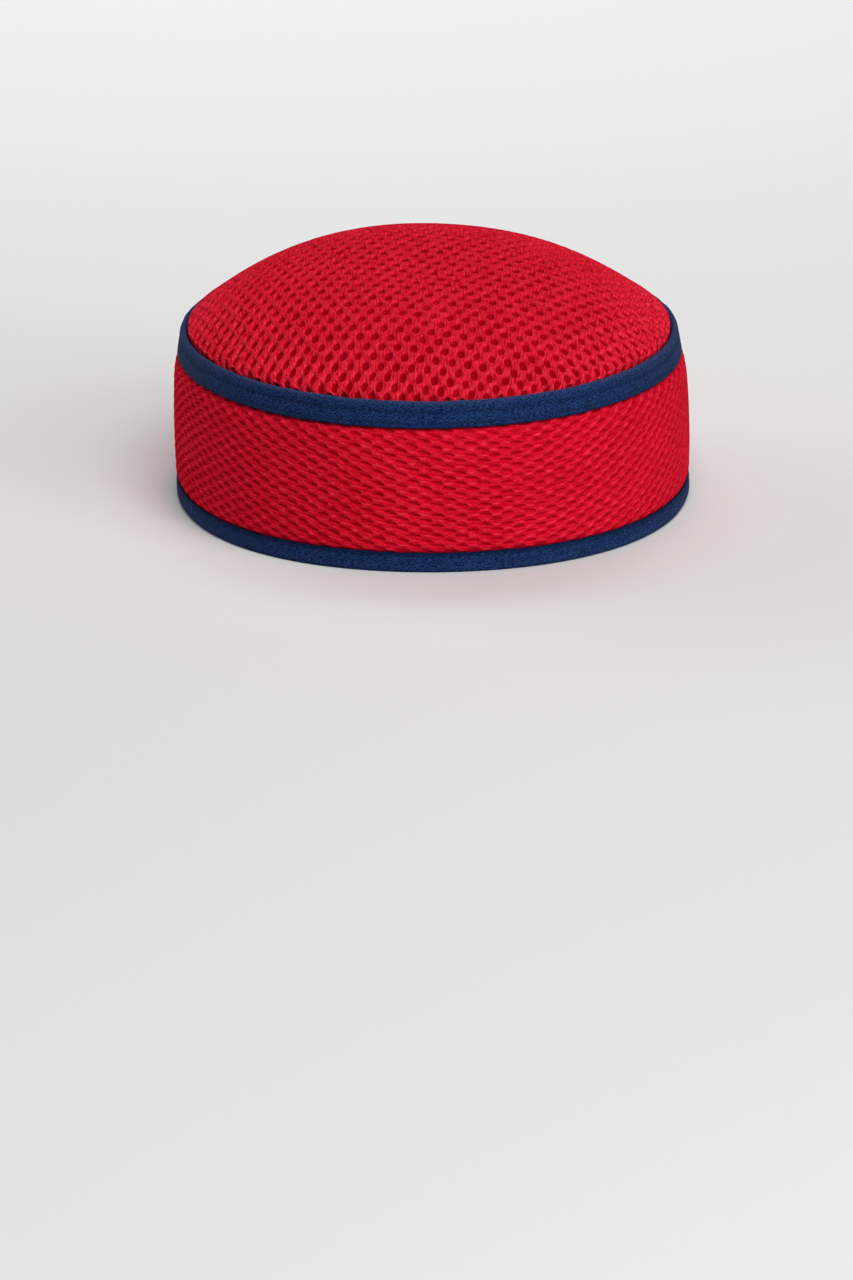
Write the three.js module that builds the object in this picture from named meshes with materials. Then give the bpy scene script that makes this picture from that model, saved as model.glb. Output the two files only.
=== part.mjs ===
// A red mesh kufi: a domed oval crown and an upright side band, both of thick spacer mesh.
// Their edges are sewn together inside a folded navy tape that stands as a lip round the crown,
// and a second tape is folded round the hem.
// Millimetres, +Z up. The front faces -Y, and the hem rests on the plane z = 0.
import * as THREE from 'three';

// Plan of the cap. An outset is measured from the outside of the hem, and is negative inwards.
const hemHalfWidth = 85.5; // hem's outside, sideways
const ovalLengthening = 17.1; // how much longer than wide each half of the oval is
const hemFullness = 0.02; // swell of the hem's quarters past an ellipse, as a share of the radius
const fullnessHeight = 56; // the swell fades out at this height
const facetsRound = 64;

// The cap has settled a little towards -X, upwards from its widest level.
const widestHeight = 22;
const sideLean = 0.02; // sideways shift for each millimetre of height
const apexLean = 1.4; // further shift at the middle of the crown

// Cloth thicknesses
const meshWall = 2.5;
const tapeWall = 1.0;
const seamWall = 0.6; // mesh pressed flat where it is sewn

// Middle surface of the dome: base + rise * (1 - share^power)^sharpness, share 1 at domeHalfWidth.
// The dome is tilted as well, so that it is highest behind the middle.
const domeHalfWidth = 80.3;
const domeBase = 56.4;
const domeRise = 20.2;
const domePower = 3.34;
const domeSharpness = 1.14;
const domeTilt = 0.07; // height gained for each millimetre towards the back, fading out at the rim
const domeShares = [0.965, 0.92, 0.85, 0.76, 0.65, 0.52, 0.36, 0.18, 0];

// Middle line of the side band, from its hem edge to its sewn top edge
const bandSections = [
  { height: 1.5, outset: -1.65, wall: 0.8 },
  { height: 6.6, outset: -1.6, wall: 1.0 },
  { height: 9.0, outset: -1.25, wall: 2.2 },
  { height: 14.0, outset: -1.0, wall: meshWall },
  { height: 22.0, outset: -0.85, wall: meshWall },
  { height: 36.0, outset: -1.25, wall: meshWall },
  { height: 44.4, outset: -2.0, wall: 2.2 },
  { height: 47.6, outset: -3.3, wall: 0.9 },
  { height: 54.0, outset: -4.1, wall: seamWall },
];

// Middle line of the crown's rim: turned up at the seam, down into the crease, up to the shoulder
const crownRimSections = [
  { height: 53.8, outset: -4.95, wall: seamWall },
  { height: 51.4, outset: -4.95, wall: seamWall },
  { height: 50.4, outset: -5.6, wall: 0.7 },
  { height: 50.5, outset: -6.85, wall: 0.9 },
  { height: 52.2, outset: -7.55, wall: 1.3 },
  { height: 55.0, outset: -7.85, wall: 2.0 },
];

// Middle line of the tape over the seam, from its outer edge over the fold to its inner edge
const crownTapeSections = [
  { height: 48.1, outset: -2.1, wall: tapeWall },
  { height: 51.0, outset: -2.55, wall: tapeWall },
  { height: 54.0, outset: -3.05, wall: tapeWall },
  { height: 55.2, outset: -3.5, wall: tapeWall },
  { height: 55.7, outset: -4.2, wall: tapeWall },
  { height: 55.7, outset: -4.8, wall: tapeWall },
  { height: 55.2, outset: -5.55, wall: tapeWall },
  { height: 54.0, outset: -6.0, wall: tapeWall },
  { height: 51.4, outset: -6.0, wall: tapeWall },
];

// Middle line of the hem tape, from its inner edge under the flat fold to its outer edge
const hemTapeSections = [
  { height: 6.0, outset: -2.8, wall: tapeWall },
  { height: 3.4, outset: -2.8, wall: tapeWall },
  { height: 1.2, outset: -2.75, wall: tapeWall },
  { height: 0.5, outset: -2.35, wall: tapeWall },
  { height: 0.5, outset: -0.95, wall: tapeWall },
  { height: 1.2, outset: -0.55, wall: tapeWall },
  { height: 3.4, outset: -0.35, wall: tapeWall },
  { height: 6.2, outset: -0.35, wall: tapeWall },
];

const meshRed = { color: 0xc9142f, roughness: 0.6, metalness: 0 };
const tapeNavy = { color: 0x17346b, roughness: 0.75, metalness: 0 };

// A row's point on the middle line, as radius across and height up
function linePoint(section) {
  return new THREE.Vector2(hemHalfWidth + section.outset, section.height);
}

// The dome's rows run from the shoulder to the axis.
function domeSections() {
  return domeShares.map((share) => ({
    height: domeBase + domeRise * (1 - share ** domePower) ** domeSharpness,
    outset: share * domeHalfWidth - hemHalfWidth,
    wall: meshWall,
  }));
}

// Unit normals of the line's pieces, to the left of the way it runs
function pieceNormals(line) {
  const normals = [];
  for (let i = 1; i < line.length; i++) {
    const run = line[i].clone().sub(line[i - 1]).normalize();
    normals.push(new THREE.Vector2(-run.y, run.x));
  }
  return normals;
}

// A closed outline: half the wall on each side of the middle line, mitred at its bends.
// A line that ends on the axis has an outline that starts and ends there.
function wallOutline(sections) {
  const line = sections.map(linePoint);
  const normals = pieceNormals(line);
  const left = [];
  const right = [];
  line.forEach((point, i) => {
    const before = normals[Math.max(i - 1, 0)];
    const after = normals[Math.min(i, normals.length - 1)];
    const onAxis = point.x < 1e-6;
    const across = onAxis ? new THREE.Vector2(0, -1) : before.clone().add(after).normalize();
    const mitre = onAxis ? 1 : 1 / across.dot(after);
    const reach = across.multiplyScalar(0.5 * sections[i].wall * mitre);
    left.push(point.clone().add(reach));
    right.push(point.clone().sub(reach));
  });
  const endsOnAxis = line[line.length - 1].x < 1e-6;
  return endsOnAxis ? left.reverse().concat(right) : [...right, ...left.reverse(), right[0].clone()];
}

// Lengthens the round lathe into the cap's oval, swells the hem's quarters, tilts the dome and leans the cap.
function shapeOval(geometry) {
  const position = geometry.attributes.position;
  for (let i = 0; i < position.count; i++) {
    const x = position.getX(i);
    const y = position.getY(i);
    const z = position.getZ(i);
    const radius = Math.hypot(x, y);
    const cos = radius > 0 ? x / radius : 1;
    const sin = radius > 0 ? y / radius : 0;
    const share = Math.min(1, radius / domeHalfWidth);
    const swell = 1 + hemFullness * Math.max(0, 1 - z / fullnessHeight) * (2 * sin * cos) ** 2;
    const inside = 1 - share ** 2;
    const lean = sideLean * (z - widestHeight) + apexLean * inside;
    const length = swell * (y + ovalLengthening * share * sin);
    position.setXYZ(i, swell * x - lean, length, z + domeTilt * length * inside);
  }
  geometry.computeVertexNormals();
}

function clothPiece(name, sections, finish) {
  const geometry = new THREE.LatheGeometry(wallOutline(sections), facetsRound);
  geometry.rotateX(Math.PI / 2);
  shapeOval(geometry);
  const piece = new THREE.Mesh(geometry, new THREE.MeshStandardMaterial(finish));
  piece.name = name;
  return piece;
}

const kufi = new THREE.Group();
kufi.add(clothPiece('hem_binding', hemTapeSections, tapeNavy));
kufi.add(clothPiece('side_band', bandSections, meshRed));
kufi.add(clothPiece('crown', [...crownRimSections, ...domeSections()], meshRed));
kufi.add(clothPiece('crown_binding', crownTapeSections, tapeNavy));

export default kufi;
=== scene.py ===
# Kufi of red spacer mesh, its seam and hem bound with folded navy tape.
# Metres, +Z up, front towards -Y. An outset is measured outwards from the hem's outside.
import bpy
import numpy as np
from mathutils import Matrix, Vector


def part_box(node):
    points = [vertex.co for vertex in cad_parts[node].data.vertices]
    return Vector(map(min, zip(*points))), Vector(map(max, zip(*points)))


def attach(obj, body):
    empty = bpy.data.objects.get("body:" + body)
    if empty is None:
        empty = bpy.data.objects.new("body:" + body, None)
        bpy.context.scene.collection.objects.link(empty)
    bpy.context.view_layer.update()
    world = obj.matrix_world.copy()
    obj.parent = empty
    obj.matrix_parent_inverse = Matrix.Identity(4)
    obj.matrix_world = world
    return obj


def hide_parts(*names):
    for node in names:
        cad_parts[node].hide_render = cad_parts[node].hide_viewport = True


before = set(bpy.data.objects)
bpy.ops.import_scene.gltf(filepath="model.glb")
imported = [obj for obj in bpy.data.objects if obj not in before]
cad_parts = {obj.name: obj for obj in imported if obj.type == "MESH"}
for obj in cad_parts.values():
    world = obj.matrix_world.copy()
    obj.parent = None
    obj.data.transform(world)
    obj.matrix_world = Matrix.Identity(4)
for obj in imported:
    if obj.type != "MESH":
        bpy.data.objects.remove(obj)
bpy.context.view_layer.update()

mm = 0.001
chance = np.random.default_rng(11)
fineSteps = 4001                          # points of the lines that are read by interpolation

# Form of the cap, shared by every piece
hemLow, hemHigh = (np.array(corner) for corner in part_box("hem_binding"))
lipHigh = np.array(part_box("crown_binding")[1])
crownProud = 0.4 * mm                     # the loose cloth stands this far above its solid
tapeProud = (0.18 * mm, 0.15 * mm)        # how far the hem tape stands out, sideways and lengthways
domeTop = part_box("crown")[1][2] + crownProud

capForm = {
    "halfWidth": 0.5 * (hemHigh[0] - hemLow[0]) - tapeProud[0],
    "halfLength": 0.5 * (hemHigh[1] - hemLow[1]) - tapeProud[1],
    "domeInset": 5.2 * mm,                # the dome's rim lies this far in from the hem's outside
    "fullness": 0.02,                     # swell of the hem's quarters past an ellipse
    "fullnessTop": lipHigh[2],            # the swell fades out here
    "widestHeight": 22 * mm,
    "sideLean": 0.02,                     # the cap has settled a little towards -X
    "apexLean": 1.4 * mm,
}
domeRadius = capForm["halfWidth"] - capForm["domeInset"]
lengthening = capForm["halfLength"] - capForm["halfWidth"]


# Point of the cap: a radius turned by an angle, lengthened front to back, swelled at the quarters of
# the hem, and shifted sideways by a lean that grows with height and towards the crown's middle
def ovalPoint(angle, radius, height):
    share = np.minimum(1.0, radius / domeRadius)
    fade = np.maximum(0.0, 1 - height / capForm["fullnessTop"])
    swell = 1 + capForm["fullness"] * fade * np.sin(2 * angle) ** 2
    lean = capForm["sideLean"] * (height - capForm["widestHeight"])
    lean = lean + capForm["apexLean"] * (1 - share ** 2)
    x = swell * radius * np.cos(angle) - lean
    y = swell * (radius + lengthening * share) * np.sin(angle)
    return np.stack(np.broadcast_arrays(x, y, height), axis=-1)


# Running length of a line of points: the sum of the distances so far
def runningLength(line):
    return np.concatenate([[0.0], np.cumsum(np.linalg.norm(np.diff(line, axis=0), axis=1))])


# Way round the cap: length along its outside at the widest level, from the middle of the front to +X
wayAngles = np.linspace(-0.5 * np.pi, 1.5 * np.pi, fineSteps)
wayLengths = runningLength(ovalPoint(wayAngles, capForm["halfWidth"], capForm["widestHeight"]))
girth = wayLengths[-1]


# Angle at a way round the cap, read off the running length
def angleAt(way):
    return np.interp(np.mod(way, girth), wayLengths, wayAngles)


# Ripple round the cap: the mean of sines with whole numbers of waves, each with its own phase
def ripple(way, waves, seed):
    phases = np.random.default_rng(seed).uniform(0, 2 * np.pi, len(waves))
    turn = 2 * np.pi * np.asarray(way) / girth
    return sum(np.sin(count * turn + phase) for count, phase in zip(waves, phases)) / len(waves)


# Smooth line through rows of a place and its values: cubic pieces with the mean slope at each row
def smoothLine(rows, at):
    rows = np.asarray(rows, float)
    place, value = rows[:, 0], rows[:, 1:]
    slope = np.gradient(value, place, axis=0)
    k = np.clip(np.searchsorted(place, at) - 1, 0, len(place) - 2)
    step = (place[k + 1] - place[k])[..., None]
    t = np.clip((at - place[k])[..., None] / step, 0, 1)
    start = (2 * t ** 3 - 3 * t ** 2 + 1) * value[k] + (t ** 3 - 2 * t ** 2 + t) * step * slope[k]
    end = (3 * t ** 2 - 2 * t ** 3) * value[k + 1] + (t ** 3 - t ** 2) * step * slope[k + 1]
    return start + end


# Value of a function of two parameters at pairs of them
def atPairs(function, pairs):
    return function(pairs[..., 0], pairs[..., 1])


# Points of a surface lifted along its normal, the cross product of small steps in its two parameters
def liftedPoints(surface, cloth, lift):
    step = 0.05 * mm
    along = atPairs(surface, cloth + (step, 0)) - atPairs(surface, cloth - (step, 0))
    across = atPairs(surface, cloth + (0, step)) - atPairs(surface, cloth - (0, step))
    normal = np.cross(along, across)
    normal /= np.linalg.norm(normal, axis=-1, keepdims=True)
    return atPairs(surface, cloth) + normal * np.asarray(lift)[..., None]


# Quads between neighbouring rings, which are closed loops: the corners of each, in order round it
def ringQuads(rings):
    ahead = np.roll(rings, -1, axis=2)
    return np.stack([rings[:, :-1], ahead[:, :-1], ahead[:, 1:], rings[:, 1:]], axis=3)


# Mesh object from points, groups of faces with equal numbers of corners, and the corners' cloth places
def clothObject(name, points, faceGroups, clothGroups, finish, masks=None):
    mesh = bpy.data.meshes.new(name)
    corners = np.concatenate([group.ravel() for group in faceGroups]).astype(np.int32)
    counts = np.concatenate([np.full(len(group), group.shape[1]) for group in faceGroups])
    starts = np.concatenate([[0], np.cumsum(counts)[:-1]]).astype(np.int32)
    cloth = np.concatenate([group.reshape(-1, 2) for group in clothGroups])
    mesh.vertices.add(len(points))
    mesh.vertices.foreach_set("co", points.astype(np.float32).ravel())
    mesh.loops.add(len(corners))
    mesh.loops.foreach_set("vertex_index", corners)
    mesh.polygons.add(len(counts))
    mesh.polygons.foreach_set("loop_start", starts)
    mesh.polygons.foreach_set("use_smooth", np.ones(len(counts), bool))
    mesh.uv_layers.new(name="cloth").data.foreach_set("uv", cloth.astype(np.float32).ravel())
    for maskName, values in (masks or {}).items():
        mask = mesh.attributes.new(maskName, "FLOAT", "POINT")
        mask.data.foreach_set("value", values.astype(np.float32).ravel())
    mesh.update(calc_edges=True)
    mesh.validate()
    mesh.materials.append(finish)
    piece = bpy.data.objects.new(name, mesh)
    bpy.context.scene.collection.objects.link(piece)
    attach(piece, "root")
    print(name, len(points), "points,", int(np.sum(counts - 2)), "triangles")
    return piece


# Shader socket that takes part in Python expressions
class Wire:
    def __init__(self, tree, socket=None):
        self.tree = tree
        self.socket = socket

    # Any node: its settings first, then the values or links of its sockets
    def node(self, kind, settings=None, sockets=None, out=0):
        made = self.tree.nodes.new(kind)
        for key, value in (settings or {}).items():
            setattr(made, key, value)
        for key, value in (sockets or {}).items():
            if isinstance(value, Wire):
                self.tree.links.new(value.socket, made.inputs[key])
            else:
                made.inputs[key].default_value = value
        return Wire(self.tree, made.outputs[out] if made.outputs else None)

    def math(self, operation, *values):
        return self.node("ShaderNodeMath", {"operation": operation}, dict(enumerate(values)))

    def __add__(self, other):
        return self.math("ADD", self, other)

    def __sub__(self, other):
        return self.math("SUBTRACT", self, other)

    def __rsub__(self, other):
        return self.math("SUBTRACT", other, self)

    def __mul__(self, other):
        return self.math("MULTIPLY", self, other)

    __radd__ = __add__
    __rmul__ = __mul__


# New material with an empty node tree, and a wire to start from
def newFinish(name):
    material = bpy.data.materials.new(name)
    material.use_nodes = True
    material.node_tree.nodes.clear()
    return material, Wire(material.node_tree)


# Colour between two, by a factor
def mixColour(wire, factor, low, high):
    return wire.node("ShaderNodeMix", {"data_type": "RGBA"}, {0: factor, 6: low, 7: high}, out=2)


# Mask of a piece: one value at each of its points
def clothMask(wire, name):
    return wire.node("ShaderNodeAttribute", {"attribute_name": name}, out=2)


# The cloth's own places
def clothPlace(wire):
    return wire.node("ShaderNodeUVMap", {"uv_map": "cloth"})


# One direction of the cloth's places: 0 is along it and 1 is across it
def clothAxis(wire, axis):
    return wire.node("ShaderNodeSeparateXYZ", None, {0: clothPlace(wire)}, out=axis)


# Noise of a given grain length and width on the cloth's own places, to both sides of 0
def clothNoise(wire, length, width, detail):
    scaled = wire.node("ShaderNodeVectorMath", {"operation": "MULTIPLY"},
                       {0: clothPlace(wire), 1: (1 / length, 1 / width, 1.0)})
    noise = wire.node("ShaderNodeTexNoise", {"noise_dimensions": "2D"},
                      {"Vector": scaled, "Scale": 1.0, "Detail": detail})
    return noise - 0.5


# Cloth at the material's output: a bump from its relief, roughness that grows with its grain, some sheen
def clothOutput(wire, look, colour, relief, grain):
    height, strength = look["bump"]
    plain, added = look["roughness"]
    weight, spread = look["fuzz"]
    normal = wire.node("ShaderNodeBump", None, {"Strength": strength, "Distance": height, "Height": relief})
    cloth = wire.node("ShaderNodeBsdfPrincipled", None, {
        "Base Color": colour,
        "Roughness": plain + added * grain,
        "Specular IOR Level": look["gloss"],
        "Sheen Weight": weight,
        "Sheen Roughness": spread,
        "Normal": normal,
    })
    wire.node("ShaderNodeOutputMaterial", None, {"Surface": cloth})


# Polyester spacer mesh. The pit mask is 0 along the middle of a rib, 1 at a hole's edge and more on its
# floor, whose deep red is painted shade. Yarn strands run along the ribs, each a row of slanted loops. The
# painted light mask is positive where a highlight is painted on the yarn that stands out most and negative
# where shade is painted in furrows, and the crease shade mask paints shade on the mesh pressed in against a
# tape.
meshLook = {
    # the yarn's tone runs from ribShade to rib, partly at random and partly as painted shade on its low
    # parts
    "rib": (0.830, 0.0110, 0.0390, 1),
    "ribShade": (0.430, 0.0000, 0.0070, 1),
    # painted highlight on the yarn that stands out most
    "paintedLight": (0.980, 0.0600, 0.1050, 1),
    # painted shade: the holes' floors and lower walls are darkened as if in shade
    "floor": (0.350, 0.0000, 0.0065, 1),
    # painted shade along the tapes' edges, where the mesh is pressed in under them
    "seam": (0.290, 0.0000, 0.0100, 1),
    "drop": 3.0,                          # how soon the floor's painted shade takes over down the wall
    # length, width and detail of each noise
    "fibre": (2.7 * mm, 0.75 * mm, 3.0),
    "grain": (0.9 * mm, 0.4 * mm, 2.0),
    "patch": (24 * mm, 19 * mm, 2.0),
    "strands": 1.0,                       # across half a rib
    "strandWander": 0.6,                  # how far the fibres move a strand
    "loop": 0.9 * mm,
    "loopSlant": 1.4,
    # what each adds to the relief, and then to the tone; the relief's share is painted shade on the yarn's
    # low parts
    "cordRelief": 0.25, "loopRelief": 0.18, "fibreRelief": 1.7,
    "plainTone": 0.56, "reliefShade": 0.85, "grainTone": 0.8, "patchTone": 0.35,
    "glints": (0.5, 4.0),                  # share of the painted light mask that shows as painted highlight, and what the fibres add
    "roughness": (0.65, 0.2),             # plain, and what the fibres add
    "gloss": 0.0,
    "fuzz": (0.012, 0.5),                 # weight and roughness of the loose fibres' sheen
    "bump": (0.20 * mm, 0.7),             # height and strength
}


# Mesh finish: cords are cosines across the ribs and loops are sines along them, slanted to both sides
def meshFinish():
    material, wire = newFinish("red_spacer_mesh")
    pit, paintedLight, seam = (clothMask(wire, mask) for mask in ("pit", "paintedLight", "seam"))
    fibre, grain, patch = (clothNoise(wire, *meshLook[noise]) for noise in ("fibre", "grain", "patch"))
    along = clothAxis(wire, 0)
    rib = wire.math("MINIMUM", pit, 1.0)
    holeShade = wire.math("MINIMUM", wire.math("MAXIMUM", pit - 1.0, 0.0) * meshLook["drop"], 1.0)
    strand = rib * meshLook["strands"] + meshLook["strandWander"] * fibre
    slant = along * (1 / meshLook["loop"]) + meshLook["loopSlant"] * wire.math("PINGPONG", strand, 0.5)
    loop = meshLook["loopRelief"] * wire.math("SINE", slant * (2 * np.pi))
    cord = meshLook["cordRelief"] * wire.math("COSINE", strand * (2 * np.pi))
    relief = (cord + loop) * (1 - holeShade) + meshLook["fibreRelief"] * fibre
    # painted shade: the tone follows the relief, darker on the yarn's low parts, with random grain and
    # patches
    tone = meshLook["plainTone"] + meshLook["reliefShade"] * relief
    tone = tone + meshLook["grainTone"] * grain + meshLook["patchTone"] * patch
    # painted highlight: glints on the yarn where the painted light mask is positive
    glints = paintedLight * wire.math("MAXIMUM", meshLook["glints"][0] + meshLook["glints"][1] * fibre, 0.0)
    yarn = mixColour(wire, tone, meshLook["ribShade"], meshLook["rib"])
    yarn = mixColour(wire, glints, yarn, meshLook["paintedLight"])
    # painted shade in the furrows, where the painted light mask is negative
    yarn = mixColour(wire, wire.math("MAXIMUM", 0 - paintedLight, 0.0), yarn, meshLook["ribShade"])
    # painted shade in the holes: the floor's colour takes over down the wall
    colour = mixColour(wire, holeShade, yarn, meshLook["floor"])
    # painted shade by the tapes' edges
    colour = mixColour(wire, wire.math("MAXIMUM", seam, 0.0), colour, meshLook["seam"])
    clothOutput(wire, meshLook, colour, relief, fibre)
    return material


# Navy twill tape: diagonal ridges, threads along the tape, a fold worn and painted lighter as if lit, and
# painted shade along the sewn lines and at the edges
tapeLook = {
    # ridge and groove colours paint light and shade into the weave's relief, with random patches
    "ridge": (0.0215, 0.0590, 0.1900, 1),
    "groove": (0.0005, 0.0060, 0.0310, 1),
    # the fold's wear together with a painted highlight on its crest
    "wornAndLit": (0.0460, 0.0680, 0.1700, 1),
    # painted shade in the stitch rows and at the tape's edges
    "sewn": (0.0010, 0.0060, 0.0300, 1),
    "pitch": 1.0 * mm,                    # from ridge to ridge along the tape
    "ridgeWander": 2.0,                   # how far the threads move a ridge
    # length, width and detail of each noise
    "thread": (1.1 * mm, 0.5 * mm, 2.5),
    "patch": (5 * mm, 2.5 * mm, 3.0),
    # what each adds to the weave, to its painted light and shade, and to the worn fold's wear and painted
    # highlight
    "plainWeave": 0.5, "ridgeWeave": 0.42, "threadWeave": 2.6,
    "plainShade": 0.03, "weaveShade": 0.85, "patchShade": 0.5,
    "plainWornAndLit": 0.3, "weaveWornAndLit": 0.5,
    "roughness": (0.65, 0.2),             # as for the mesh
    "gloss": 0.01,
    "fuzz": (0.02, 0.5),
    "bump": (0.16 * mm, 0.7),
}


# Tape finish: ridges are a sine of the place along the tape less the place across it
def tapeFinish():
    material, wire = newFinish("navy_twill_tape")
    wearAndPaintedLight = clothMask(wire, "wearAndPaintedLight")
    thread, patch = (clothNoise(wire, *tapeLook[noise]) for noise in ("thread", "patch"))
    along, across = clothAxis(wire, 0), clothAxis(wire, 1)
    twill = (along - across) * (2 * np.pi / tapeLook["pitch"])
    ridge = wire.math("SINE", twill + tapeLook["ridgeWander"] * thread)
    weave = tapeLook["plainWeave"] + tapeLook["ridgeWeave"] * ridge + tapeLook["threadWeave"] * thread
    # painted light and shade of the weave: ridges lighter, grooves darker
    shade = tapeLook["plainShade"] + tapeLook["weaveShade"] * weave + tapeLook["patchShade"] * patch
    # the fold's wear and painted highlight
    wornAndLit = wire.math("MAXIMUM", wearAndPaintedLight, 0.0) * (tapeLook["plainWornAndLit"] + tapeLook["weaveWornAndLit"] * weave)
    colour = mixColour(wire, shade, tapeLook["groove"], tapeLook["ridge"])
    colour = mixColour(wire, wornAndLit, colour, tapeLook["wornAndLit"])
    # painted shade in the stitch rows and at the edges
    colour = mixColour(wire, wire.math("MAXIMUM", 0 - wearAndPaintedLight, 0.0), colour, tapeLook["sewn"])
    clothOutput(wire, tapeLook, colour, weave, thread)
    return material


# Navy sewing thread: plies twisted round each other
threadLook = {
    "light": (0.0070, 0.0210, 0.0760, 1),
    "dark": (0.0020, 0.0070, 0.0280, 1),
    "twist": 0.6 * mm,
    "roughness": (0.5, 0.1),              # plain, and what the plies add
    "gloss": 0.1,
    "fuzz": (0.0, 0.5),
    "bump": (0.05 * mm, 0.5),
}


# Thread finish: plies are a sine of the places along and round the thread together
def threadFinish():
    material, wire = newFinish("navy_thread")
    along, across = clothAxis(wire, 0), clothAxis(wire, 1)
    ply = 0.5 + 0.5 * wire.math("SINE", (along + across) * (2 * np.pi / threadLook["twist"]))
    colour = mixColour(wire, ply, threadLook["dark"], threadLook["light"])
    clothOutput(wire, threadLook, colour, ply, ply)
    return material


redMesh = meshFinish()
navyTape = tapeFinish()
navyThread = threadFinish()
print("finishes made")


# Centres of a honeycomb's holes, counted in two directions: in every second line the second count is half
# a step on
def netCentres(first, second):
    line, place = np.meshgrid(np.arange(*first), np.arange(*second), indexing="ij")
    return np.stack([line, place + 0.5 * (line % 2)], axis=-1).reshape(-1, 2)


# Border of a honeycomb cell: a hexagon with each side cut into equal steps
def cellBorder(cuts):
    hexagon = np.array([(4, 0), (2, 3), (-2, 3), (-4, 0), (-2, -3), (2, -3)]) / 6    # in sixths of a step
    share = (np.arange(cuts) / cuts)[:, None]
    border = hexagon[:, None] * (1 - share) + np.roll(hexagon, -1, axis=0)[:, None] * share
    return border.reshape(-1, 2)


# Points that neighbouring cells share: places with the same whole-number key are one point
def sharedPoints(places, cuts, wrap):
    keySteps = 12 * cuts                  # fine enough to make every place a whole number
    keys = np.rint(places * keySteps).astype(int)
    if wrap:
        keys[..., 0] %= keySteps * wrap
    first, index = np.unique(keys.reshape(-1, 2), axis=0, return_index=True, return_inverse=True)[1:]
    return places.reshape(-1, 2)[first], index.reshape(places.shape[:2])


# Hole edges: ellipses, or lenses with narrower ends, each resized, turned and moved a little by chance.
# A pull draws a hole longer along it and narrower across it.
def holeEdges(net, facing, cells, turn, pull):
    largeness = chance.uniform(-1, 1, (cells, 1))
    turn = np.radians(turn + net["turnSpread"] * chance.uniform(-1, 1, (cells, 1)))
    move = net["moveSpread"] * chance.uniform(-1, 1, (cells, 1, 2))
    size = 1 + net["sizeSpread"] * largeness
    long = 0.5 * net["hole"][0] * size * np.cos(facing)
    wide = 0.5 * net["hole"][1] * size * np.sin(facing) * (1 - net["lens"] * np.cos(facing) ** 2)
    edge = np.stack([long * np.cos(turn) - wide * np.sin(turn),
                     long * np.sin(turn) + wide * np.cos(turn)], -1)
    drawn = np.sum(edge * pull, -1, keepdims=True) * pull
    edge = edge * (1 - net["narrow"] * np.sum(np.square(pull), -1, keepdims=True)) + drawn
    return (edge + move) / net["steps"], largeness


# Faces of a net, counter-clockwise seen from outside: quads from ring to ring, a floor and a back for each
# cell, and a skirt that joins front and back along the sides that only one cell has
def netFaces(loop, rim, borderCloth, ringCloth):
    cells, rings, sides = ringCloth.shape[:3]
    ring = rim + np.arange(cells * rings * sides).reshape(cells, rings, sides)
    under = rim + ring.size               # number of the first point at the back
    walls = ringQuads(np.concatenate([loop[:, None], ring], axis=1))
    wallCloth = ringQuads(np.concatenate([borderCloth[:, None], ringCloth], axis=1))
    ahead = np.roll(loop, -1, axis=1)
    sideKey = np.minimum(loop, ahead) * rim + np.maximum(loop, ahead)
    sideIndex, uses = np.unique(sideKey, return_inverse=True, return_counts=True)[1:]
    bare = (uses[sideIndex] == 1).reshape(cells, sides)
    start, end = loop[bare], ahead[bare]
    startCloth, endCloth = borderCloth[bare], np.roll(borderCloth, -1, axis=1)[bare]
    skirt = np.stack([end, start, start + under, end + under], -1)
    skirtCloth = np.stack([endCloth, startCloth, startCloth, endCloth], 1)
    faceGroups = [walls.reshape(-1, 4), ring[:, -1], loop[:, ::-1] + under, skirt]
    clothGroups = [wallCloth.reshape(-1, 4, 2), ringCloth[:, -1], borderCloth[:, ::-1], skirtCloth]
    return faceGroups, clothGroups


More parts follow.
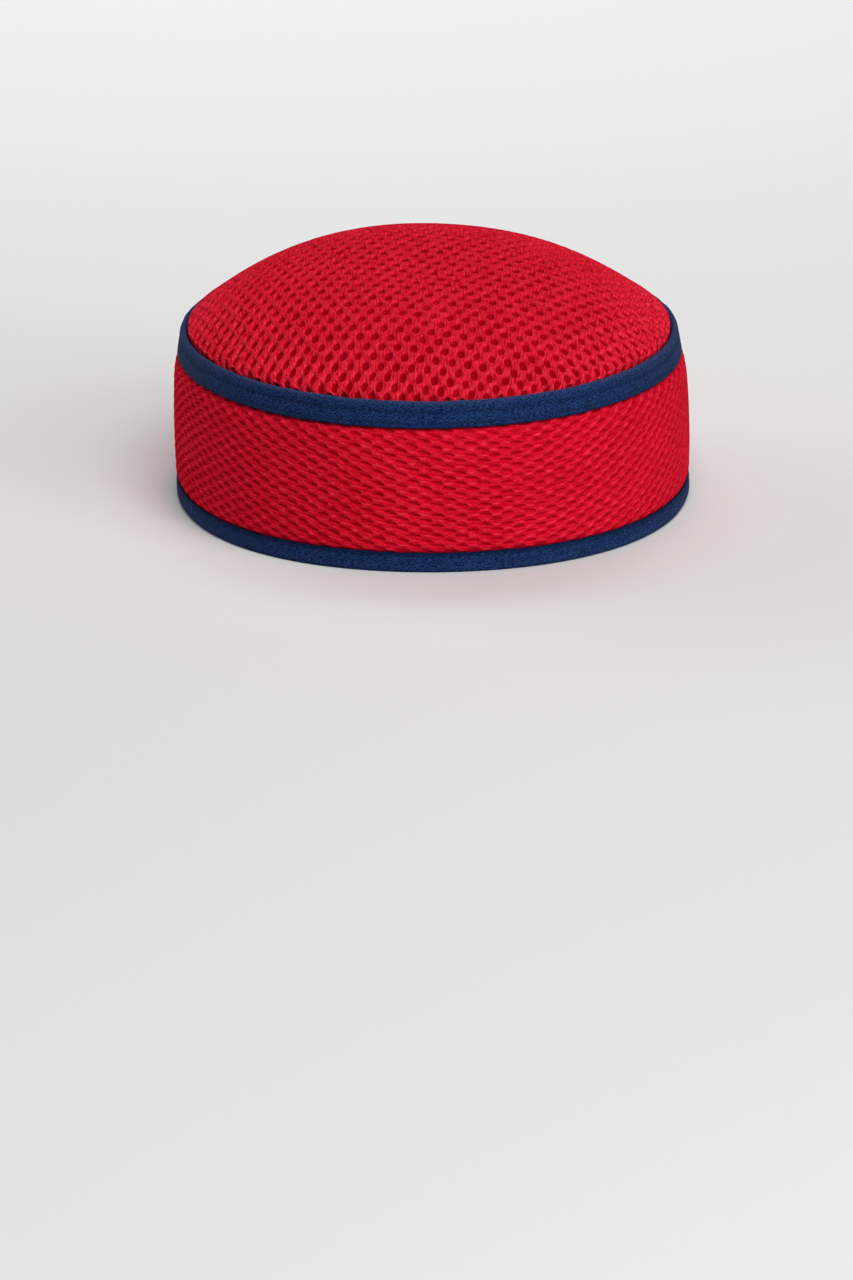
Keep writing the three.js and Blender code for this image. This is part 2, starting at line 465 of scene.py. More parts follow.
# Honeycomb net of pits on a surface. Each hole's cell is a hexagon whose border points are shared with
# its neighbours. Rings of points run from the border over the rib to the hole's edge, down its wall and
# to its floor.
def pitNet(name, net, shape, centres, turn=0.0, wrap=None, pull=0.0, near=1.0):
    border = cellBorder(net["cuts"])
    borderPlace = centres[:, None] + border
    rimPlace, loop = sharedPoints(borderPlace, net["cuts"], wrap)
    rim = len(rimPlace)
    facing = np.arctan2(border[:, 1] * net["steps"][1], border[:, 0] * net["steps"][0])
    edge, largeness = holeEdges(net, facing, len(centres), turn, pull)

    # Places in the net, on the cloth and in space
    blend, shrink, depth, paintedLight, rimPit, innerPit = np.transpose(net["rings"])[:, None, :, None]
    ringPlace = (1 - blend[..., None]) * border + blend[..., None] * edge[:, None] * shrink[..., None]
    ringPlace = centres[:, None, None] + ringPlace
    rimCloth, borderCloth, ringCloth = (np.stack(atPairs(shape["place"], place), -1)
                                        for place in (rimPlace, borderPlace, ringPlace))
    rimStrand, ringStrand = (atPairs(shape["strand"], place) for place in (rimPlace, ringPlace))
    rimWall, ringWall = (atPairs(shape["wall"], cloth) for cloth in (rimCloth, ringCloth))
    sink = depth * (1 + net["tilt"] * np.sin(facing)) * ringWall + net["strandDepth"] * ringStrand
    front = liftedPoints(shape["surface"], rimCloth, -net["strandDepth"] * rimStrand)
    pits = liftedPoints(shape["surface"], ringCloth, -sink)
    back = liftedPoints(shape["surface"], rimCloth, -rimWall)

    # Masks: larger holes get deeper painted shade, and tilted ones more of it on their upper side; the
    # painted light mask paints highlights on the standing yarn and shade in the furrows
    pit = innerPit + (rimPit - innerPit) * near
    shade = net["tiltShade"] * (np.sin(facing) - 1) + net["toneSpread"] * largeness[:, None]
    pit = pit + (pit > 1) * (pit - 1) * shade
    rimPaintedLight = net["borderHighlight"] * (1 - rimStrand) ** net["gather"] - net["furrowShade"] * rimStrand
    ringPaintedLight = paintedLight * (1 - ringStrand) ** net["gather"] - net["furrowShade"] * ringStrand
    rimCreaseShade, ringCreaseShade = (atPairs(shape["seam"], cloth) for cloth in (rimCloth, ringCloth))
    masks = {
        "pit": [np.zeros(rim), np.broadcast_to(pit, sink.shape), np.ones(rim)],
        "paintedLight": [rimPaintedLight, ringPaintedLight, np.zeros(rim)],
        "seam": [rimCreaseShade, ringCreaseShade, rimCreaseShade],
    }
    masks = {key: np.concatenate([part.ravel() for part in parts]) for key, parts in masks.items()}

    faceGroups, clothGroups = netFaces(loop, rim, borderCloth, ringCloth)
    clothGroups = [shape["grain"](group) for group in clothGroups]
    points = np.concatenate([front, pits.reshape(-1, 3), back])
    return clothObject(name, points, faceGroups, clothGroups, redMesh, masks)


# Length past a limit squeezed into a short strip: it grows ever more slowly and never passes the strip
def squeezed(length, limit, strip):
    past = np.maximum(0.0, length - limit)
    return np.minimum(length, limit) + strip * (1 - np.exp(-past / strip))


# Crease shade mask, for painted shade by a tape's edge: 1 up to a seam, falling straight to 0 at its reach
# and on below 0, down to a least value, so that it ends in the right place inside a face
def seamMask(distance, reach):
    least = -9
    return np.clip(1 - distance / reach, least, 1)


# Side band: an upright strip with its edges pressed flat inside the two tapes
bandCloth = {
    # height, outset of the outer face, thickness, in millimetres
    "profile": [
        (1.0, -1.25, 0.8), (5.6, -1.15, 0.8), (6.7, -0.55, 1.2), (8.2, 0.05, 2.0), (12.0, 0.30, 2.5),
        (22.0, 0.42, 2.5), (36.0, 0.05, 2.5), (42.5, -0.45, 2.5), (45.4, -1.15, 2.0), (46.6, -2.10, 1.4),
        (47.6, -2.90, 0.8), (49.5, -3.10, 0.5), (54.0, -3.45, 0.5),
    ],
    "columns": 156,                       # round the cap
    "rows": (-10, 7),
    "rowStep": 3.58 * mm,
    "rowGrowth": 0.003,                   # rows grow a little further apart upwards
    "middle": (16.95 * mm, 34.75 * mm),   # the slit that the rows are counted from
    "slant": 4.4 * mm,                    # the rows drop by this much across the front
    "slantGrowth": 14.0,                  # and by more higher up, as a share for each metre
    "slantMiddle": -9.5 * mm,
    "slantRise": 0.9,                     # the drop lies further to +X higher up
    "slantSpread": 12 * mm,
    "lowEdge": 4.0 * mm,
    "highEdge": 50.0 * mm,
    "margin": 1.0 * mm,                   # cells may have their middles this far past the edges
    "squeeze": 1.2 * mm,                  # and what passes an edge is squeezed into this strip
    "seams": (6.9 * mm, 47.4 * mm),       # heights of the tapes' edges
    # how far the painted shade reaches from the tapes' edges
    "seamReach": 0.6 * mm,
    # the strands fall to +X round this share of the girth from the front, as far as this to each side
    "layMiddle": -0.05, "layHalf": 0.10, "laySpread": 0.2,
    "layTilt": 11,                        # degrees that the slits lean with the strands
    "layCross": 0.2,                      # how far a strand dips where the other lay would cross it
    "wave": 0.25 * mm,
    "waves": (5, 8, 13),
    "waveSeed": 3,
    "waveSpan": (9 * mm, 45 * mm),        # heights between which the band waves
    "waveFade": 10 * mm,
    "net": {
        "cuts": 2,
        "steps": (0, 0),                  # set below, from the girth
        "hole": (4.5 * mm, 1.3 * mm),
        "lens": 0.35,                     # how far the holes narrow towards their ends
        "sizeSpread": 0.06, "turnSpread": 5, "moveSpread": 0.11 * mm,
        "toneSpread": 0.15,               # larger holes are painted darker, as deeper shade
        "narrow": 0.0,                    # how far a pull narrows the holes
        "tilt": 0.35,                     # the pits are deepest under their upper edge
        "tiltShade": 0.175,               # and painted darkest there, as shade
        "strandDepth": 0.14 * mm,         # depth of the furrows between the strands
        # painted highlight on the strands' middles
        "borderHighlight": 0.42,
        "gather": 3,                      # how closely the painted highlight keeps to the strands' middles
        "furrowShade": 0.14,                   # how far shade is painted in the furrows
        # blend from border to hole edge, shrink, depth as a share of the wall, painted light mask, and pit
        # mask by the rim and away from it, whose part above 1 is painted shade
        "rings": [(0.6, 1.0, 0.0, 0.36, 0.5, 0.5), (0.97, 1.0, 0.03, 0.1, 0.97, 0.97),
                  (1.0, 0.86, 0.21, 0.0, 1.24, 1.24)],
    },
}
bandProfile = np.array(bandCloth["profile"]) * mm
bandCloth["net"]["steps"] = (girth / bandCloth["columns"], bandCloth["rowStep"])


# Band surface: the profile's outset at a height, carried round the oval, with a slow wave
def bandSurface(way, height):
    height = squeezed(height, bandCloth["highEdge"], bandCloth["squeeze"])
    height = -squeezed(-height, -bandCloth["lowEdge"], bandCloth["squeeze"])
    outset = smoothLine(bandProfile, height)[..., 0]
    low, high = bandCloth["waveSpan"]
    bulge = np.clip(np.minimum(height - low, high - height) / bandCloth["waveFade"], 0, 1)
    outset = outset + bulge * bandCloth["wave"] * ripple(way, bandCloth["waves"], bandCloth["waveSeed"])
    return ovalPoint(angleAt(way), capForm["halfWidth"] + outset, height)


# Band wall: the profile's thickness at a height
def bandWall(way, height):
    return smoothLine(bandProfile, height)[..., 1]


# Band crease shade, painted along the tapes' edges: the distance is to the nearer tape's edge
def bandCreaseShade(way, height):
    low, high = bandCloth["seams"]
    return seamMask(np.minimum(height - low, high - height), bandCloth["seamReach"])


# Band net's place on the cloth: columns by the way round, rows by height, with a smooth drop across the
# front that a slow rise round the rest of the cap makes good
def bandPlace(column, row):
    way = bandCloth["middle"][0] + column * bandCloth["net"]["steps"][0]
    turn = np.mod(way / girth + 0.5, 1.0)
    rise = row * bandCloth["rowStep"] * (1 + bandCloth["rowGrowth"] * row)
    fallMiddle = bandCloth["slantMiddle"] + bandCloth["slantRise"] * rise
    fall = 1 / (1 + np.exp((fallMiddle - (turn - 0.5) * girth) / bandCloth["slantSpread"]))
    slant = bandCloth["slant"] * (1 + bandCloth["slantGrowth"] * rise)
    return way, bandCloth["middle"][1] + rise + slant * (turn - fall)


# Lay of the band's strands: 0 where they fall to +X and 1 where they rise, turning smoothly between
def bandLay(column):
    turn = (bandCloth["middle"][0] + column * bandCloth["net"]["steps"][0]) / girth
    past = np.cos(2 * np.pi * bandCloth["layHalf"]) - np.cos(2 * np.pi * (turn - bandCloth["layMiddle"]))
    return 0.5 + 0.5 * np.tanh(past / bandCloth["laySpread"])


# Furrow between the band's strands: a cosine of the net's place across one or the other diagonal, with a
# share of the other one, which breaks the strands into loops
def bandStrand(column, row):
    falling, rising = (0.5 + 0.5 * np.cos(2 * np.pi * (row + side * column)) for side in (0.5, -0.5))
    cross = bandCloth["layCross"]
    return falling + (rising - falling) * (cross + (1 - 2 * cross) * bandLay(column))


# Running sum of the lay, for one turn of the cap and a little more at both ends
layWays = np.linspace(-0.1 * girth, 1.2 * girth, fineSteps)
layColumns = (layWays - bandCloth["middle"][0]) / bandCloth["net"]["steps"][0]
layRun = np.cumsum(1 - 2 * bandLay(layColumns)) * (layWays[1] - layWays[0])


# Grain of the band: heights sheared along the strands, by the running sum of their lay
def bandGrain(cloth):
    slope = 0.5 * bandCloth["rowStep"] / bandCloth["net"]["steps"][0]    # half a row for each column
    height = cloth[..., 1] + slope * np.interp(cloth[..., 0], layWays, layRun)
    return np.stack([cloth[..., 0], height], -1)


# Band mesh: a closed net of the slits that lie between the band's edges
def makeBand():
    shape = {"place": bandPlace, "surface": bandSurface, "wall": bandWall, "seam": bandCreaseShade,
             "strand": bandStrand, "grain": bandGrain}
    centres = netCentres((0, bandCloth["columns"]), bandCloth["rows"])
    height = atPairs(bandPlace, centres)[1]
    low, high = bandCloth["lowEdge"] - bandCloth["margin"], bandCloth["highEdge"] + bandCloth["margin"]
    centres = centres[(height > low) & (height < high)]
    turn = bandCloth["layTilt"] * (2 * bandLay(centres[:, :1]) - 1)
    band = pitNet("side_band_mesh", bandCloth["net"], shape, centres, turn=turn, wrap=bandCloth["columns"])
    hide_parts("side_band")
    return band


band = makeBand()

# Crown: a dome whose rim drops behind the lip, turns in the crease and stands up in the seam
crownCloth = {
    "rise": 20.2 * mm,
    "power": 3.34,
    "sharpness": 1.14,
    "tilt": 0.07,                         # height gained towards the back, fading out at the rim
    "domeShare": 0.955,                   # the dome's formula ends at this share of its radius
    "domeSteps": 240,
    "domeSpacing": 0.8,                   # below 1 the steps grow shorter towards the rim
    # radius out from the dome's rim and height, in millimetres: corners that round curves turn round
    "rim": [(0.25, 58.0), (-0.05, 56.3), (-0.25, 52.4), (-0.20, 50.7), (0.25, 50.7), (0.62, 50.7),
            (0.62, 51.8), (0.62, 53.9)],
    "curveSteps": 24,
    # share of the way from the middle to the edge, and thickness in millimetres
    "walls": [(0.0, 2.5), (0.84, 2.5), (0.88, 2.2), (0.92, 1.3), (0.955, 0.7), (1.0, 0.5)],
    "rows": (-40, 41),
    "columns": (-30, 31),
    "columnStep": 5.2 * mm,
    "columnCrowd": (0.033, 72 * mm),      # share that columns are drawn in by, this far from the middle
    "rowStep": 5.4 * mm,
    "rowGrowth": -0.0024,                 # rows lie a little closer towards the back
    "middle": (9.6 * mm, -3.7 * mm),      # the hole that rows and columns are counted from
    "columnLean": 0.085,
    # place towards the back, in millimetres, and how far the rows slant to the front there
    "rowLean": [(-97, 0.17), (0, 0.29), (40, 0.33)],
    "rowBend": 0.06,                      # the slant eases to +X and grows to -X by this much
    "rowBendSpread": 20 * mm,
    "rowTurn": 0.19,                      # and eases by this much past a place on the far -X side
    "rowTurnAt": -38 * mm,
    "rowTurnSpread": 8 * mm,
    "near": (0.60, 0.2),                  # where the cloth counts as by the rim
    "pull": 0.36,                         # holes by the rim are drawn longer towards it
    "rimPaintedLight": 0.20,                    # and the yarn there gets more painted highlight
    "seam": 54.2 * mm,                    # painted shade on the rim's wall inside the lip, full below this height
    "seamReach": 1.8 * mm,
    "squeeze": 1.0 * mm,
    "margin": 0.5 * mm,                   # as for the band
    "grain": (0.7, 1.2),
    "wave": 0.3 * mm,
    "waveRadians": (17 * mm, 19 * mm),    # length of a radian of the wave, sideways and to the back
    "waveBend": (1.3, 23 * mm),           # radians that it bends by, and length of a radian of the bend
    "waveStart": 0.8,
    "waveFade": (6 * mm, 20 * mm),        # it ends this far inside the rim, and fades over this length
    "net": {
        "cuts": 2,
        "steps": (0, 0),                  # set below, from the steps of rows and columns
        "hole": (5.2 * mm, 2.9 * mm),
        "lens": 0.0,
        "sizeSpread": 0.06, "turnSpread": 5, "moveSpread": 0.12 * mm,
        "toneSpread": 0.15,
        "narrow": 0.2,
        "tilt": 0.0,
        "tiltShade": 0.0,
        "strandDepth": 0.0,
        "borderHighlight": 0.15,
        "gather": 3,
        "furrowShade": 0.0,
        # as for the band
        "rings": [(0.55, 1.0, 0.02, 0.15, 0.55, 0.55), (0.92, 1.0, 0.08, 0.22, 0.92, 0.92),
                  (1.0, 0.95, 0.20, 0.36, 1.0, 1.05), (1.0, 0.88, 0.44, 0.1, 1.13, 1.23),
                  (1.0, 0.82, 0.48, 0.0, 1.33, 1.26)],
    },
}
crownCloth["net"]["steps"] = (crownCloth["rowStep"], crownCloth["columnStep"])


# Height that the crown's tilt adds: a slope towards the back that fades as 1 - share^2
def crownTilt(share, sine):
    return crownCloth["tilt"] * share * (domeRadius + lengthening) * sine * np.maximum(0, 1 - share ** 2)


# Crown profile as running length, radius and height: a drop of rise * (1 - (1 - share^power)^sharpness)
# from a top that puts the tilted dome's peak at the crown's own, then straight runs and quadratic curves
# through the rim's corners
def crownProfile():
    share = crownCloth["domeShare"] * np.linspace(0, 1, crownCloth["domeSteps"]) ** crownCloth["domeSpacing"]
    drop = crownCloth["rise"] * (1 - (1 - share ** crownCloth["power"]) ** crownCloth["sharpness"])
    top = domeTop - np.max(crownTilt(share, 1.0) - drop)
    line = [np.stack([share * domeRadius, top - drop], -1)]
    rim = np.array(crownCloth["rim"]) * mm + (domeRadius, 0)
    shoulder, wallTop, wallLow, creaseIn, creaseMid, creaseOut, standLow, standTop = rim
    t = np.linspace(0, 1, crownCloth["curveSteps"])[1:, None]
    for start, corner, end in ((line[0][-1], shoulder, wallTop), (wallTop, wallTop, wallLow),
                               (wallLow, creaseIn, creaseMid), (creaseMid, creaseOut, standLow),
                               (standLow, standLow, standTop)):
        line.append((1 - t) ** 2 * start + 2 * t * (1 - t) * corner + t ** 2 * end)
    line = np.concatenate(line)
    return runningLength(line), line[:, 0], line[:, 1]


crownLength, crownRadius, crownHeight = crownProfile()
crownEdge = crownLength[-1] - crownCloth["squeeze"]
crownAspect = (domeRadius + lengthening) / domeRadius


# Places on the crown's cloth are lengths from its middle, to the back and to -X. The distance from the
# middle counts the places to the back as shorter, by the oval's aspect.
def crownReach(aft, port):
    return np.hypot(port, aft / crownAspect)


# Crown surface: the distance from the middle gives radius and height, the direction gives the angle, and
# a slow wave of two crossed sines lifts the dome
def crownSurface(aft, port):
    angle = np.arctan2(aft / crownAspect, -port)
    length = squeezed(crownReach(aft, port), crownEdge, crownCloth["squeeze"])
    radius = np.interp(length, crownLength, crownRadius)
    height = np.interp(length, crownLength, crownHeight)
    sideRadian, aftRadian = crownCloth["waveRadians"]
    bend, bendRadian = crownCloth["waveBend"]
    fadeEnd, fadeLength = crownCloth["waveFade"]
    wave = np.sin(bend * np.sin(aft / bendRadian) - port / sideRadian)
    wave = wave * np.sin(aft / aftRadian + crownCloth["waveStart"])
    fade = np.clip((domeRadius - fadeEnd - radius) / fadeLength, 0, 1)
    height = height + fade * crownCloth["wave"] * wave + crownTilt(radius / domeRadius, np.sin(angle))
    return ovalPoint(angle, radius, height)


# Nearness to the crown's rim: 0 up to the start, rising straight to 1 over the reach, as shares of the
# distance from the middle to the edge
def crownNear(aft, port):
    start, reach = crownCloth["near"]
    return np.clip((crownReach(aft, port) / crownLength[-1] - start) / reach, 0, 1)


# Crown wall: straight steps of thickness from the middle to the edge
def crownWall(aft, port):
    walls = np.array(crownCloth["walls"])
    return np.interp(crownReach(aft, port) / crownLength[-1], walls[:, 0], walls[:, 1]) * mm


# Crown crease shade, painted on the rim's wall inside the lip: the distance is the height above the line
# where it is full
def crownCreaseShade(aft, port):
    height = np.interp(crownReach(aft, port), crownLength, crownHeight)
    return seamMask(height - crownCloth["seam"], crownCloth["seamReach"])


# Crown net's place on the cloth: rows run side to side and slant to the front on +X, columns lean a little
def crownPlace(row, column):
    middleSide, middleAft = crownCloth["middle"]
    leanPlace, leanAmount = np.transpose(crownCloth["rowLean"])
    climb = row * crownCloth["rowStep"] * (1 + crownCloth["rowGrowth"] * row)
    across = -column * crownCloth["columnStep"]
    crowd, crowdPlace = crownCloth["columnCrowd"]
    across = across * (1 - crowd * (across / crowdPlace) ** 2)
    lean = np.interp(middleAft + climb, leanPlace * mm, leanAmount)
    spread, turnSpread = crownCloth["rowBendSpread"], crownCloth["rowTurnSpread"]
    bend = crownCloth["rowBend"] * spread * np.log(np.cosh(across / spread))
    turn = np.logaddexp(0, (crownCloth["rowTurnAt"] - across) / turnSpread)
    side = middleSide + across + crownCloth["columnLean"] * climb
    return middleAft + climb - lean * across + bend - crownCloth["rowTurn"] * turnSpread * turn, -side


# The crown has no furrows: its value is 0 in the middle, and below 0 by the rim, where the yarn gets more
# painted highlight
def crownStrand(row, column):
    return -crownCloth["rimPaintedLight"] * crownNear(*crownPlace(row, column))


# Grain of the crown: places scaled so that the fibres are drawn long and thin towards the back
def crownGrain(cloth):
    return cloth * crownCloth["grain"]


# Crown mesh: a net of the holes inside the sewn edge, those by the rim pulled straight out from the middle
def makeCrown():
    shape = {"place": crownPlace, "surface": crownSurface, "wall": crownWall, "seam": crownCreaseShade,
             "strand": crownStrand, "grain": crownGrain}
    centres = netCentres(crownCloth["rows"], crownCloth["columns"])
    cloth = np.stack(atPairs(crownPlace, centres), -1)
    inside = atPairs(crownReach, cloth) < crownEdge + crownCloth["margin"]
    centres, cloth = centres[inside], cloth[inside]
    near = atPairs(crownNear, cloth)[:, None, None]
    outwards = (cloth / np.linalg.norm(cloth, axis=-1, keepdims=True))[:, None]
    crown = pitNet("crown_mesh", crownCloth["net"], shape, centres,
                   pull=np.sqrt(crownCloth["pull"]) * near * outwards, near=near)
    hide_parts("crown")
    return crown


crown = makeCrown()

# Tapes: each middle line runs from the tape's first edge over the fold to its other edge
crownTape = {
    # outset and height of the middle line, in millimetres
    "line": [(-1.85, 47.65), (-2.15, 49.6), (-2.45, 51.5), (-2.85, 54.0), (-3.1, 55.1), (-3.55, 55.75),
             (-4.1, 55.8), (-4.6, 55.3), (-4.85, 54.4), (-4.95, 53.2), (-4.95, 51.6)],
    "thickness": 0.65 * mm,
    "edgeWave": 0.16 * mm,
    # painted shade at both edges
    "edgeShade": 0.7,
    "fold": 8.6 * mm,                     # the worn crest's place along the middle line, also painted lighter as if lit
    "foldReach": 1.0 * mm,
    "wearAndPaintedLight": 1.0,
    # place along the middle line of each stitch row, and how deep it draws in
    "stitchRows": [(5.2 * mm, 0.34 * mm), (1.5 * mm, 0.16 * mm)],
    "seed": 5,
}
hemTape = {
    "line": [(-2.8, 6.0), (-2.8, 3.4), (-2.75, 1.3), (-2.3, 0.5), (-1.55, 0.45), (-0.8, 0.5),
             (-0.35, 1.2), (-0.22, 3.0), (-0.3, 6.7)],
    "thickness": 0.8 * mm,
    "edgeWave": 0.12 * mm,
    "edgeShade": 1.0,
    "fold": 8.6 * mm,
    "foldReach": 0.8 * mm,
    "wearAndPaintedLight": 0.2,
    "stitchRows": [(12.3 * mm, 0.40 * mm)],
    "seed": 9,
}
# What both tapes share
tapeMake = {
    "sections": 900,
    "facePoints": 34,                     # across each face
    "edgeTurns": (30, 60, 90, 120, 150),  # degrees of the points on each half-round edge
    "waves": (11, 23, 37, 58),
    "waveRise": 6 * mm,                   # the wave has its full size from this height up
    "waveOut": 0.4,                       # and goes outwards by this share
    "drawReach": 0.6 * mm,
    "drawPulse": (0.7, 0.3),              # mean share drawn in, and its change: most between stitches
    "drawShade": 1.6,                     # painted shade for each millimetre drawn in
    "edgeReach": 0.5 * mm,
    "toneRange": (-0.8, 1.0),
}
stitchSize = {
    "pitch": 2.9 * mm,
    "length": 2.35 * mm,
    "thread": 0.19 * mm,                  # half the thread's width
    "sides": 6,
    "rings": 7,
    "slip": 0.06 * mm,                    # spread of the stitches about their row
    "proud": 0.05 * mm,                   # the thread's middle stands above the cloth by this much
    "dip": 0.30 * mm,                     # and goes down by this much at a stitch's ends
    "taper": 0.6,                         # share of its section that the thread loses there
    "arch": 4,                            # power by which it dips and tapers
}
stitchCount = round(girth / stitchSize["pitch"])


# Tape's surface, and its width: its middle line by running length, carried round the oval with a small wave
def tapeSurface(tape):
    line = np.array(tape["line"]) * mm
    run = runningLength(line)
    rows = np.column_stack([run, line])

    def surface(way, across):
        outset, height = np.moveaxis(smoothLine(rows, across), -1, 0)
        drift = tape["edgeWave"] * ripple(way, tapeMake["waves"], tape["seed"])
        drift = drift * np.clip(height / tapeMake["waveRise"], 0, 1)
        outset = outset + tapeMake["waveOut"] * drift
        return ovalPoint(angleAt(way), capForm["halfWidth"] + outset, height + drift)

    return surface, run[-1]


# Tape mesh: both faces of the middle line with half-round edges, drawn in along the stitch rows. The wear
# and painted light mask is positive on the fold, worn and painted lighter as if lit, and negative where
# shade is painted in the stitch rows and at the edges.
def makeTape(name, node, tape):
    surface, width = tapeSurface(tape)
    half = 0.5 * tape["thickness"]
    span = np.linspace(half, width - half, tapeMake["facePoints"])
    face = np.full(len(span), half)
    tip = np.radians(tapeMake["edgeTurns"])
    place = np.concatenate([span, width - half + half * np.sin(tip), span[::-1], half - half * np.sin(tip)])
    lift = np.concatenate([face, half * np.cos(tip), -face, -half * np.cos(tip)])
    way = np.linspace(0, girth, tapeMake["sections"], endpoint=False)
    wayGrid, placeGrid = np.meshgrid(way, place, indexing="ij")
    liftGrid = np.broadcast_to(lift, wayGrid.shape).copy()
    outer = liftGrid > 0
    # wear and painted highlight on the fold's crest
    tone = tape["wearAndPaintedLight"] * np.exp(-((placeGrid - tape["fold"]) / tape["foldReach"]) ** 2) * outer
    mean, change = tapeMake["drawPulse"]
    pulse = mean + change * np.cos(2 * np.pi * stitchCount * wayGrid / girth)
    # the stitch rows are drawn in, and shade is painted along them
    for row, draw in tape["stitchRows"]:
        drawn = draw * pulse * np.exp(-((placeGrid - row) / tapeMake["drawReach"]) ** 2) * outer
        liftGrid -= drawn
        tone -= tapeMake["drawShade"] * drawn / mm
    fromEdge = np.minimum(placeGrid, width - placeGrid)
    # painted shade at the tape's edges
    tone -= tape["edgeShade"] * np.exp(-(fromEdge / tapeMake["edgeReach"]) ** 2)
    points = liftedPoints(surface, np.stack([wayGrid, placeGrid], -1), liftGrid).reshape(-1, 3)
    number = np.arange(wayGrid.size).reshape(wayGrid.shape)
    ahead, beside = np.roll(number, -1, axis=0), np.roll(number, -1, axis=1)
    faces = np.stack([number, ahead, np.roll(ahead, -1, axis=1), beside], -1).reshape(-1, 4)
    outline = np.column_stack([place, lift])
    outlineRun = runningLength(np.concatenate([outline, outline[:1]]))
    cloth = np.stack(np.meshgrid(np.append(way, girth), outlineRun, indexing="ij"), -1)
    clothFaces = np.stack([cloth[:-1, :-1], cloth[1:, :-1], cloth[1:, 1:], cloth[:-1, 1:]], 2)
    piece = clothObject(name, points, [faces], [clothFaces.reshape(-1, 4, 2)], navyTape,
                        {"wearAndPaintedLight": np.clip(tone, *tapeMake["toneRange"])})
    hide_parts(node)
    return piece


# Stitches: short tubes laid along a row on the tape, each arched so that its ends dip into the cloth
def makeStitches(name, tape):
    surface = tapeSurface(tape)[0]
    centre = ((np.arange(stitchCount) + 0.5) * girth / stitchCount)[:, None, None]
    reach = np.linspace(-1, 1, stitchSize["rings"])[:, None]
    arch = reach ** stitchSize["arch"]
    around = 2 * np.pi * np.arange(stitchSize["sides"]) / stitchSize["sides"]
    slim = stitchSize["thread"] * np.sqrt(1 - stitchSize["taper"] * arch)
    allPoints, allTubes, allEnds, tubeCloth, endCloth = [], [], [], [], []
    for k, (row, draw) in enumerate(tape["stitchRows"]):
        slip = stitchSize["slip"] * chance.normal(size=(stitchCount, 1, 1))
        way = centre + 0.5 * stitchSize["length"] * reach
        across = row + slip + slim * np.cos(around)
        lift = 0.5 * tape["thickness"] - draw + stitchSize["proud"] - stitchSize["dip"] * arch
        way, across, lift = np.broadcast_arrays(way, across, lift + slim * np.sin(around))
        number = k * way.size + np.arange(way.size).reshape(way.shape)
        local = np.stack(np.broadcast_arrays(way - centre, around * stitchSize["thread"]), -1)
        allPoints.append(liftedPoints(surface, np.stack([way, across], -1), lift).reshape(-1, 3))
        allTubes.append(ringQuads(number).reshape(-1, 4))
        tubeCloth.append(ringQuads(local).reshape(-1, 4, 2))
        allEnds += [number[:, 0, ::-1], number[:, -1]]
        endCloth += [local[:, 0, ::-1], local[:, -1]]
    return clothObject(name, np.concatenate(allPoints), allTubes + allEnds, tubeCloth + endCloth, navyThread)


lip = makeTape("crown_binding_tape", "crown_binding", crownTape)
hem = makeTape("hem_binding_tape", "hem_binding", hemTape)
lipStitches = makeStitches("crown_binding_stitches", crownTape)
hemStitches = makeStitches("hem_binding_stitches", hemTape)

# Flat cuts: the crown oval's width, length and area and each tape's width are worked out, but not kept
crownWidth = 2 * crownLength[-1]
crownAspect * crownWidth
np.pi / 4 * crownAspect * crownWidth ** 2
tapeSurface(crownTape)[1]
tapeSurface(hemTape)[1]

# Floor, light and camera
stageLook = {
    "floor": (0.86, 0.86, 0.85, 1),
    "floorRoughness": 0.75,
    "floorReach": 8.0,
    "sky": (0.97, 0.98, 1.0, 1),
    "skyStrength": 0.06,
    # name, place, aim, size, power and spread in degrees of each lamp
    "lamps": [
        ("high key", (0.366, -1.368, 1.812), (0, 0, 0.04), 1.3, 29.5, 180),
        ("low key", (1.474, -1.474, 0.972), (0, 0, 0.04), 1.3, 19.6, 180),
        ("side", (-1.770, 1.240, 0.787), (0, 0, 0.04), 1.6, 15.5, 180),
        ("far floor", (0, 1.6, 1.5), (0, 1.1, 0), 1.6, 6.0, 70),
    ],
}
photoView = {
    "distance": 2.5,
    "elevation": 15.7,                    # degrees, of the camera seen from the hem's middle
    "frame": (853, 1280),
    "originPixel": (432.6, 486.8),
    "focalPixels": 7467,
    "roll": -0.3,
    "sensor": 36.0,                       # millimetres
    "clip": (0.05, 60.0),
}


# Rotation whose -Z looks along a direction, rolled about it in degrees
def lookAlong(direction, roll=0.0):
    back = -np.asarray(direction, float) / np.linalg.norm(direction)
    right = np.cross((0.0, 0.0, 1.0), back)
    right /= np.linalg.norm(right)
    turned = Matrix(np.column_stack([right, np.cross(back, right), back]).tolist())
    return (turned @ Matrix.Rotation(np.radians(roll), 3, "Z")).to_4x4()


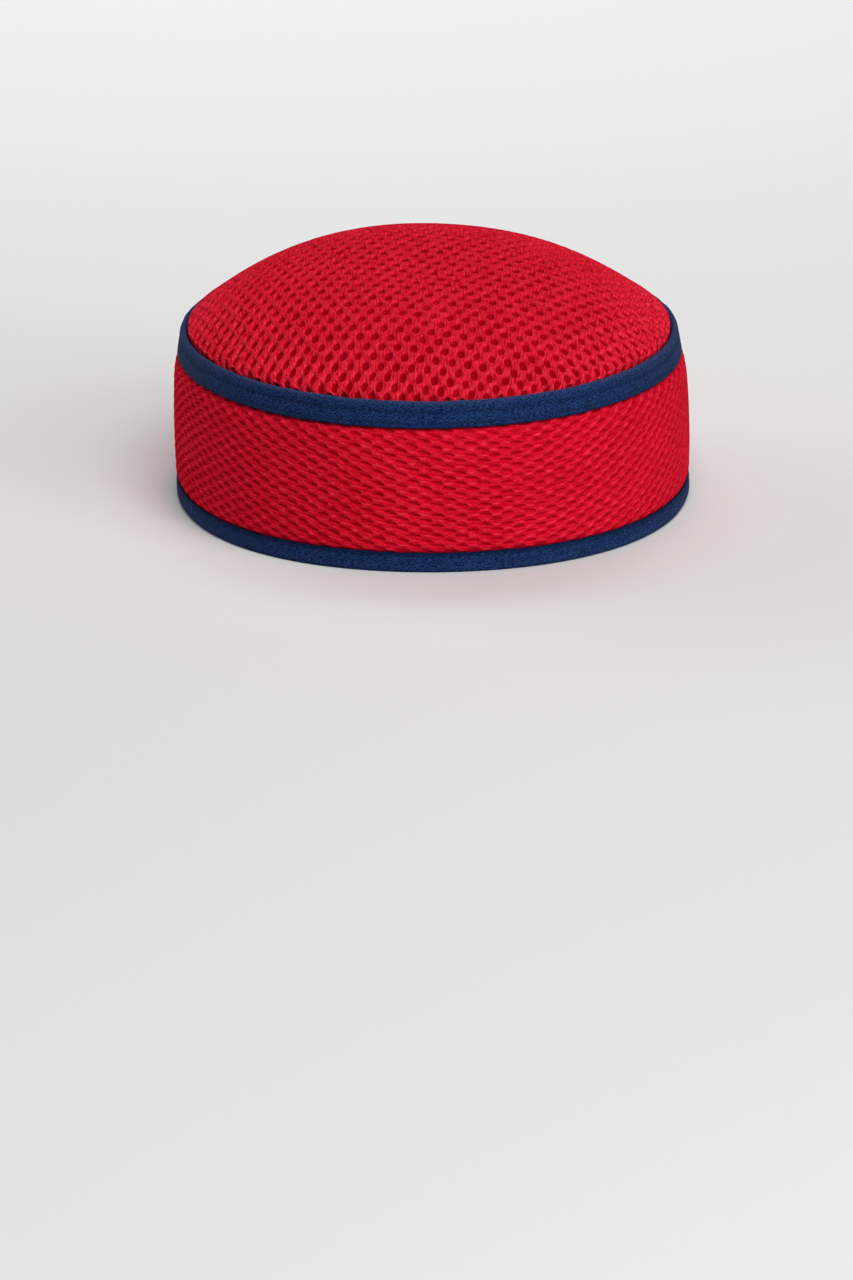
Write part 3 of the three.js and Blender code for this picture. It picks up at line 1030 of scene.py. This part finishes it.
# Stage: a square floor, area lamps aimed at their points, and a faint even sky
def makeStage():
    reach = stageLook["floorReach"]
    mesh = bpy.data.meshes.new("floor")
    corners = [(-reach, -reach, 0), (reach, -reach, 0), (reach, reach, 0), (-reach, reach, 0)]
    mesh.from_pydata(corners, [], [(0, 1, 2, 3)])
    material, wire = newFinish("pale_floor")
    paint = wire.node("ShaderNodeBsdfPrincipled", None, {
        "Base Color": stageLook["floor"],
        "Roughness": stageLook["floorRoughness"],
    })
    wire.node("ShaderNodeOutputMaterial", None, {"Surface": paint})
    mesh.materials.append(material)
    floor = bpy.data.objects.new("floor", mesh)
    bpy.context.scene.collection.objects.link(floor)
    for name, place, aim, size, power, spread in stageLook["lamps"]:
        lamp = bpy.data.lights.new(name, "AREA")
        lamp.size = size
        lamp.energy = power
        lamp.spread = np.radians(spread)
        holder = bpy.data.objects.new(name, lamp)
        holder.matrix_world = Matrix.Translation(place) @ lookAlong(np.subtract(aim, place))
        bpy.context.scene.collection.objects.link(holder)
    world = bpy.data.worlds.new("studio")
    world.use_nodes = True
    sky = world.node_tree.nodes["Background"]
    sky.inputs["Color"].default_value = stageLook["sky"]
    sky.inputs["Strength"].default_value = stageLook["skyStrength"]
    bpy.context.scene.world = world
    bpy.context.scene.view_settings.view_transform = "Standard"


# Camera: on the line of sight of the hem's middle, then aimed so that this point falls on its pixel
def makeCamera():
    rise = np.radians(photoView["elevation"])
    forward = np.array((0.0, np.cos(rise), -np.sin(rise)))
    up = np.array((0.0, np.sin(rise), np.cos(rise)))
    right = np.array((1.0, 0.0, 0.0))
    frameSize = np.array(photoView["frame"])
    off = (frameSize / 2 - photoView["originPixel"]) / photoView["focalPixels"]
    aim = forward + off[0] * right - off[1] * up
    camera = bpy.data.cameras.new("photo_view")
    camera.sensor_fit = "VERTICAL"
    camera.sensor_width = camera.sensor_height = photoView["sensor"]
    camera.lens = camera.sensor_height * photoView["focalPixels"] / frameSize[1]
    camera.clip_start, camera.clip_end = photoView["clip"]
    holder = bpy.data.objects.new("photo_view", camera)
    place = Matrix.Translation(-photoView["distance"] * forward)
    holder.matrix_world = place @ lookAlong(aim, photoView["roll"])
    bpy.context.scene.collection.objects.link(holder)
    bpy.context.scene.camera = holder


makeStage()
makeCamera()
print("stage and camera made")
